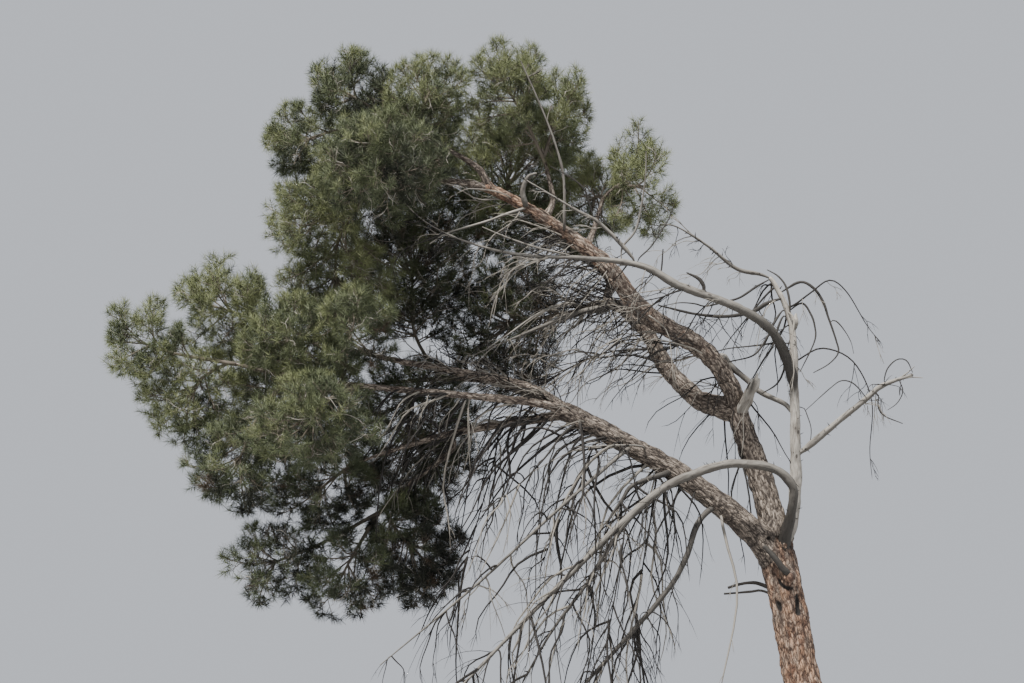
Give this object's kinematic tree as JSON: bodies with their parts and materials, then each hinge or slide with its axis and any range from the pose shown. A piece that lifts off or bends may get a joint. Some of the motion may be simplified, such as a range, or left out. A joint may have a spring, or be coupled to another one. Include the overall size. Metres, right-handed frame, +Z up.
{
  "type": "leaning pine tree",
  "caption": "Whole pine with a leaning forked trunk, a wind-swept crown of needle foliage to one side, and a dead leader with bare arching limbs.",
  "frame": {"origin": "on the ground, at the middle of the trunk's flat cut", "axes": "+Z up; the crown sweeps towards -X, which is the longest extent; -Y is the side the tree is seen from"},
  "size_m": [12.3959, 5.2618, 11.7496],
  "materials": {
    "trunk_bark": "rough, plated bark",
    "bough_bark": "rough, scaly bark",
    "dead_wood": "bleached bare wood",
    "needles": "satin needles",
    "bare_twigs": "dry bare twigs"
  },
  "bodies": {
    "root": {"trunk": "trunk_bark", "low_bough": "bough_bark", "high_bough": "bough_bark", "inner_bough": "bough_bark", "low_bough_upper": "bough_bark", "low_bough_middle": "bough_bark", "low_bough_under": "bough_bark", "low_bough_drop": "bough_bark", "low_bough_back": "bough_bark", "crown_bough_left": "bough_bark", "crown_bough_top": "bough_bark", "crown_bough_peak": "bough_bark", "crown_bough_right": "bough_bark", "crown_bough_back": "bough_bark", "dead_leader": "dead_wood", "dead_hook": "dead_wood", "dead_droop": "dead_wood", "dead_arch": "dead_wood", "dead_arch_left": "dead_wood", "dead_arch_upper": "dead_wood", "dead_side_arm": "dead_wood", "dead_top_arm": "dead_wood", "dead_hanger": "dead_wood", "long_whip": "dead_wood", "dead_spar": "dead_wood", "crown_top_left": "needles", "crown_shoulder": "needles", "crown_top_middle": "needles", "crown_peak": "needles", "crown_top_right": "needles", "crown_right_shoulder": "needles", "crown_lobe_right": "needles", "crown_left": "needles", "crown_front": "needles", "crown_back": "needles", "crown_back_right": "needles", "crown_under": "needles", "limb_tip": "needles", "low_top_left": "needles", "low_left": "needles", "low_top": "needles", "low_middle": "needles", "low_front": "needles", "low_under_left": "needles", "low_belly": "needles", "skirt_left": "needles", "skirt_middle": "needles", "skirt_right": "needles", "low_back": "needles", "low_back_under": "needles", "heart": "needles", "back_middle": "needles", "hangers_low": "bare_twigs", "hangers_under": "bare_twigs", "hangers_droop": "bare_twigs", "hangers_middle": "bare_twigs", "twigs_inner": "bare_twigs", "twigs_leader": "bare_twigs", "twigs_side": "bare_twigs", "twigs_arch": "bare_twigs"}
  },
  "joints": []
}
